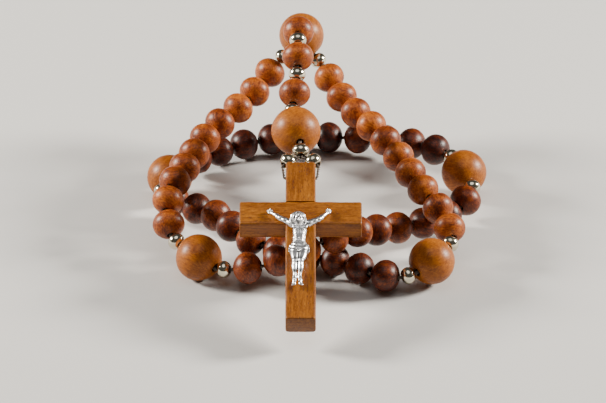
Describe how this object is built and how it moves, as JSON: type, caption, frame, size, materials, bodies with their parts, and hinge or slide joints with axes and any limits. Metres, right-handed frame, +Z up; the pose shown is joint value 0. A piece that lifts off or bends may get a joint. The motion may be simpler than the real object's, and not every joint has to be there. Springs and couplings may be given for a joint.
{
  "type": "rosary",
  "caption": "Wooden rosary of threaded round beads with metal spacers and a crucifix, standing in a loose double coil.",
  "frame": {"origin": "middle of the object's box, on the surface it stands on", "axes": "+Z up, +Y from the crucifix's foot towards the centre bead at the back, +X to the right seen from the crucifix's foot"},
  "size_m": [0.0904, 0.121, 0.0426],
  "materials": {
    "small_bead_wood": "reddish-brown hardwood with fine dark pores, waxed to a satin shine",
    "large_bead_wood": "tan wood with fine speckled pores and faint rings, satin",
    "crucifix_wood": "honey-brown wood with short dark pores along the grain, satin varnish",
    "spacer_metal": "polished silver with a slightly warm tone",
    "figure_metal": "bright cast metal, polished, darker in the recesses",
    "cord": "tightly twisted dark brown cord"
  },
  "bodies": {
    "root": {"ring_cord": "cord", "centre_bead": "large_bead_wood", "run_foura": "small_bead_wood", "run_fourb": "small_bead_wood", "run_threea": "small_bead_wood", "run_threeb": "small_bead_wood", "run_twoa": "small_bead_wood", "run_twob": "small_bead_wood"},
    "drop_upper": {"drop_cord": "cord"},
    "drop_pendant": {"pendant_cord": "cord"},
    "bail": {"bail_cord": "cord"},
    "crucifix": {"upright": "crucifix_wood", "crossbar": "crucifix_wood", "corpus": "figure_metal"},
    "ring_spacer_01": {"ring_spacer_01": "spacer_metal"},
    "right_bead_01": {"right_bead_01": "small_bead_wood"},
    "right_bead_02": {"right_bead_02": "small_bead_wood"},
    "right_bead_03": {"right_bead_03": "small_bead_wood"},
    "right_bead_04": {"right_bead_04": "small_bead_wood"},
    "right_bead_05": {"right_bead_05": "small_bead_wood"},
    "right_bead_06": {"right_bead_06": "small_bead_wood"},
    "right_bead_07": {"right_bead_07": "small_bead_wood"},
    "right_bead_08": {"right_bead_08": "small_bead_wood"},
    "right_bead_09": {"right_bead_09": "small_bead_wood"},
    "right_bead_10": {"right_bead_10": "small_bead_wood"},
    "ring_spacer_02": {"ring_spacer_02": "spacer_metal"},
    "large_bead_1": {"large_bead_1": "large_bead_wood"},
    "ring_spacer_03": {"ring_spacer_03": "spacer_metal"},
    "ring_spacer_04": {"ring_spacer_04": "spacer_metal"},
    "large_bead_2": {"large_bead_2": "large_bead_wood"},
    "ring_spacer_05": {"ring_spacer_05": "spacer_metal"},
    "ring_spacer_06": {"ring_spacer_06": "spacer_metal"},
    "large_bead_3": {"large_bead_3": "large_bead_wood"},
    "ring_spacer_07": {"ring_spacer_07": "spacer_metal"},
    "ring_spacer_08": {"ring_spacer_08": "spacer_metal"},
    "large_bead_4": {"large_bead_4": "large_bead_wood"},
    "ring_spacer_09": {"ring_spacer_09": "spacer_metal"},
    "left_bead_01": {"left_bead_01": "small_bead_wood"},
    "left_bead_02": {"left_bead_02": "small_bead_wood"},
    "left_bead_03": {"left_bead_03": "small_bead_wood"},
    "left_bead_04": {"left_bead_04": "small_bead_wood"},
    "left_bead_05": {"left_bead_05": "small_bead_wood"},
    "left_bead_06": {"left_bead_06": "small_bead_wood"},
    "left_bead_07": {"left_bead_07": "small_bead_wood"},
    "left_bead_08": {"left_bead_08": "small_bead_wood"},
    "left_bead_09": {"left_bead_09": "small_bead_wood"},
    "left_bead_10": {"left_bead_10": "small_bead_wood"},
    "ring_spacer_10": {"ring_spacer_10": "spacer_metal"},
    "drop_spacer_1": {"drop_spacer_1": "spacer_metal"},
    "drop_bead_1": {"drop_bead_1": "small_bead_wood"},
    "drop_spacer_2": {"drop_spacer_2": "spacer_metal"},
    "drop_bead_2": {"drop_bead_2": "small_bead_wood"},
    "drop_spacer_3": {"drop_spacer_3": "spacer_metal"},
    "drop_bead_3": {"drop_bead_3": "small_bead_wood"},
    "drop_spacer_4": {"drop_spacer_4": "spacer_metal"},
    "drop_large_bead": {"drop_large_bead": "large_bead_wood"},
    "drop_spacer_5": {"drop_spacer_5": "spacer_metal"},
    "bail_spacer_right": {"bail_spacer_right": "spacer_metal"},
    "bail_spacer_left": {"bail_spacer_left": "spacer_metal"}
  },
  "joints": [
    {"name": "drop_lift", "type": "hinge", "parent": "root", "child": "drop_upper", "pos_m": [-0.00451, 0.04982, 0.03547], "axis": [-1, 0, 0], "range_deg": [0, 45]},
    {"name": "drop_bend", "type": "hinge", "parent": "drop_upper", "child": "drop_pendant", "pos_m": [-0.00667, 0.01147, 0.02844], "axis": [-1, 0, 0], "range_deg": [0, 28]},
    {"name": "crucifix_swing", "type": "hinge", "parent": "drop_pendant", "child": "bail", "pos_m": [-0.00427, -0.0024, 0.02805], "axis": [-1, 0, 0], "range_deg": [0, 45]},
    {"name": "crucifix_rock", "type": "hinge", "parent": "bail", "child": "crucifix", "pos_m": [-0.00427, -0.01367, 0.02393], "axis": [-1, 0, 0], "range_deg": [0, 10]},
    {"name": "spin_ring_spacer_01", "type": "hinge", "parent": "root", "child": "ring_spacer_01", "pos_m": [0.00041, 0.0525, 0.0245], "axis": [0.538, -0.4562, -0.7088], "continuous": true},
    {"name": "spin_right_bead_01", "type": "hinge", "parent": "root", "child": "right_bead_01", "pos_m": [0.00336, 0.04845, 0.02132], "axis": [0.4579, -0.7809, -0.425], "continuous": true},
    {"name": "spin_right_bead_02", "type": "hinge", "parent": "root", "child": "right_bead_02", "pos_m": [0.00674, 0.04181, 0.01885], "axis": [0.3971, -0.8957, -0.2], "continuous": true},
    {"name": "spin_right_bead_03", "type": "hinge", "parent": "root", "child": "right_bead_03", "pos_m": [0.01043, 0.03494, 0.01777], "axis": [0.5362, -0.8409, -0.0741], "continuous": true},
    {"name": "spin_right_bead_04", "type": "hinge", "parent": "root", "child": "right_bead_04", "pos_m": [0.01457, 0.02822, 0.01721], "axis": [0.5099, -0.8578, -0.0653], "continuous": true},
    {"name": "spin_right_bead_05", "type": "hinge", "parent": "root", "child": "right_bead_05", "pos_m": [0.01825, 0.02126, 0.0165], "axis": [0.4198, -0.9002, -0.1153], "continuous": true},
    {"name": "spin_right_bead_06", "type": "hinge", "parent": "root", "child": "right_bead_06", "pos_m": [0.02149, 0.0141, 0.01557], "axis": [0.3978, -0.9095, -0.1208], "continuous": true},
    {"name": "spin_right_bead_07", "type": "hinge", "parent": "root", "child": "right_bead_07", "pos_m": [0.02455, 0.00685, 0.01465], "axis": [0.375, -0.9203, -0.1113], "continuous": true},
    {"name": "spin_right_bead_08", "type": "hinge", "parent": "root", "child": "right_bead_08", "pos_m": [0.02772, -0.0003, 0.01349], "axis": [0.4256, -0.8865, -0.1817], "continuous": true},
    {"name": "spin_right_bead_09", "type": "hinge", "parent": "root", "child": "right_bead_09", "pos_m": [0.03149, -0.00699, 0.0117], "axis": [0.529, -0.8048, -0.2694], "continuous": true},
    {"name": "spin_right_bead_10", "type": "hinge", "parent": "root", "child": "right_bead_10", "pos_m": [0.03433, -0.01391, 0.00956], "axis": [0.1869, -0.9443, -0.2708], "continuous": true},
    {"name": "spin_ring_spacer_02", "type": "hinge", "parent": "root", "child": "ring_spacer_02", "pos_m": [0.03433, -0.01959, 0.00811], "axis": [-0.3476, -0.9196, -0.1829], "continuous": true},
    {"name": "spin_large_bead_1", "type": "hinge", "parent": "root", "child": "large_bead_1", "pos_m": [0.02945, -0.02593, 0.00659], "axis": [-0.6742, -0.7152, -0.1841], "continuous": true},
    {"name": "spin_ring_spacer_03", "type": "hinge", "parent": "root", "child": "ring_spacer_03", "pos_m": [0.02329, -0.03085, 0.00508], "axis": [-0.9527, -0.2479, -0.1757], "continuous": true},
    {"name": "spin_ring_spacer_04", "type": "hinge", "parent": "root", "child": "ring_spacer_04", "pos_m": [-0.04087, 0.01201, 0.00636], "axis": [-0.1582, 0.9874, 0.0014], "continuous": true},
    {"name": "spin_large_bead_2", "type": "hinge", "parent": "root", "child": "large_bead_2", "pos_m": [-0.03913, 0.01989, 0.00628], "axis": [0.3366, 0.9415, -0.0137], "continuous": true},
    {"name": "spin_ring_spacer_05", "type": "hinge", "parent": "root", "child": "ring_spacer_05", "pos_m": [-0.03579, 0.02737, 0.00607], "axis": [0.5999, 0.7978, -0.0594], "continuous": true},
    {"name": "spin_ring_spacer_06", "type": "hinge", "parent": "root", "child": "ring_spacer_06", "pos_m": [0.03597, 0.02877, 0.00751], "axis": [0.5688, -0.8197, -0.0676], "continuous": true},
    {"name": "spin_large_bead_3", "type": "hinge", "parent": "root", "child": "large_bead_3", "pos_m": [0.03913, 0.02122, 0.00703], "axis": [0.3193, -0.9461, -0.0546], "continuous": true},
    {"name": "spin_ring_spacer_07", "type": "hinge", "parent": "root", "child": "ring_spacer_07", "pos_m": [0.04105, 0.01328, 0.00673], "axis": [-0.024, -0.9995, 0.0181], "continuous": true},
    {"name": "spin_ring_spacer_08", "type": "hinge", "parent": "root", "child": "ring_spacer_08", "pos_m": [-0.024, -0.02732, 0.00492], "axis": [-0.969, 0.2223, -0.1078], "continuous": true},
    {"name": "spin_large_bead_4", "type": "hinge", "parent": "root", "child": "large_bead_4", "pos_m": [-0.03055, -0.02283, 0.00588], "axis": [-0.7326, 0.6528, 0.1925], "continuous": true},
    {"name": "spin_ring_spacer_09", "type": "hinge", "parent": "root", "child": "ring_spacer_09", "pos_m": [-0.03645, -0.01732, 0.0076], "axis": [-0.6574, 0.7089, 0.2555], "continuous": true},
    {"name": "spin_left_bead_01", "type": "hinge", "parent": "root", "child": "left_bead_01", "pos_m": [-0.03852, -0.01233, 0.00987], "axis": [-0.1733, 0.882, 0.4382], "continuous": true},
    {"name": "spin_left_bead_02", "type": "hinge", "parent": "root", "child": "left_bead_02", "pos_m": [-0.03879, -0.00517, 0.01303], "axis": [0.1063, 0.9265, 0.3611], "continuous": true},
    {"name": "spin_left_bead_03", "type": "hinge", "parent": "root", "child": "left_bead_03", "pos_m": [-0.03723, 0.00228, 0.01452], "axis": [0.2878, 0.9576, 0.0158], "continuous": true},
    {"name": "spin_left_bead_04", "type": "hinge", "parent": "root", "child": "left_bead_04", "pos_m": [-0.03485, 0.00983, 0.01457], "axis": [0.3146, 0.9492, -0.0039], "continuous": true},
    {"name": "spin_left_bead_05", "type": "hinge", "parent": "root", "child": "left_bead_05", "pos_m": [-0.03244, 0.01736, 0.01476], "axis": [0.2921, 0.955, 0.0504], "continuous": true},
    {"name": "spin_left_bead_06", "type": "hinge", "parent": "root", "child": "left_bead_06", "pos_m": [-0.02976, 0.02477, 0.01534], "axis": [0.3874, 0.9168, 0.097], "continuous": true},
    {"name": "spin_left_bead_07", "type": "hinge", "parent": "root", "child": "left_bead_07", "pos_m": [-0.02588, 0.03154, 0.01632], "axis": [0.5911, 0.7923, 0.1514], "continuous": true},
    {"name": "spin_left_bead_08", "type": "hinge", "parent": "root", "child": "left_bead_08", "pos_m": [-0.02109, 0.03768, 0.01768], "axis": [0.6206, 0.7604, 0.1914], "continuous": true},
    {"name": "spin_left_bead_09", "type": "hinge", "parent": "root", "child": "left_bead_09", "pos_m": [-0.01667, 0.04398, 0.01943], "axis": [0.4959, 0.8316, 0.2501], "continuous": true},
    {"name": "spin_left_bead_10", "type": "hinge", "parent": "root", "child": "left_bead_10", "pos_m": [-0.01261, 0.05031, 0.02185], "axis": [0.5287, 0.7671, 0.3633], "continuous": true},
    {"name": "spin_ring_spacer_10", "type": "hinge", "parent": "root", "child": "ring_spacer_10", "pos_m": [-0.00913, 0.05405, 0.02471], "axis": [0.6607, 0.3364, 0.671], "continuous": true},
    {"name": "spin_drop_spacer_1", "type": "hinge", "parent": "drop_upper", "child": "drop_spacer_1", "pos_m": [-0.00466, 0.04773, 0.03661], "axis": [-0.065, -0.8757, 0.4785], "continuous": true},
    {"name": "spin_drop_bead_1", "type": "hinge", "parent": "drop_upper", "child": "drop_bead_1", "pos_m": [-0.0049, 0.04198, 0.03847], "axis": [-0.0253, -0.9774, 0.2099], "continuous": true},
    {"name": "spin_drop_spacer_2", "type": "hinge", "parent": "drop_upper", "child": "drop_spacer_2", "pos_m": [-0.00502, 0.036, 0.03892], "axis": [-0.0079, -0.9839, -0.1784], "continuous": true},
    {"name": "spin_drop_bead_2", "type": "hinge", "parent": "drop_upper", "child": "drop_bead_2", "pos_m": [-0.00503, 0.03024, 0.03699], "axis": [0.0005, -0.9211, -0.3893], "continuous": true},
    {"name": "spin_drop_spacer_3", "type": "hinge", "parent": "drop_upper", "child": "drop_spacer_3", "pos_m": [-0.00521, 0.02465, 0.03453], "axis": [-0.0847, -0.8997, -0.4281], "continuous": true},
    {"name": "spin_drop_bead_3", "type": "hinge", "parent": "drop_upper", "child": "drop_bead_3", "pos_m": [-0.00585, 0.01917, 0.03191], "axis": [-0.1136, -0.8954, -0.4306], "continuous": true},
    {"name": "spin_drop_spacer_4", "type": "hinge", "parent": "drop_upper", "child": "drop_spacer_4", "pos_m": [-0.00647, 0.01366, 0.02937], "axis": [-0.082, -0.9177, -0.3886], "continuous": true},
    {"name": "spin_drop_large_bead", "type": "hinge", "parent": "drop_pendant", "child": "drop_large_bead", "pos_m": [-0.00551, 0.00475, 0.02825], "axis": [0.1701, -0.985, -0.0276], "continuous": true},
    {"name": "spin_drop_spacer_5", "type": "hinge", "parent": "bail", "child": "drop_spacer_5", "pos_m": [-0.00427, -0.00461, 0.02724], "axis": [0, -0.9391, -0.3437], "continuous": true},
    {"name": "spin_bail_spacer_right", "type": "hinge", "parent": "bail", "child": "bail_spacer_right", "pos_m": [-0.00107, -0.00804, 0.02599], "axis": [0.6426, -0.7195, -0.2633], "continuous": true},
    {"name": "spin_bail_spacer_left", "type": "hinge", "parent": "bail", "child": "bail_spacer_left", "pos_m": [-0.00747, -0.00804, 0.02599], "axis": [-0.6426, -0.7195, -0.2633], "continuous": true}
  ]
}
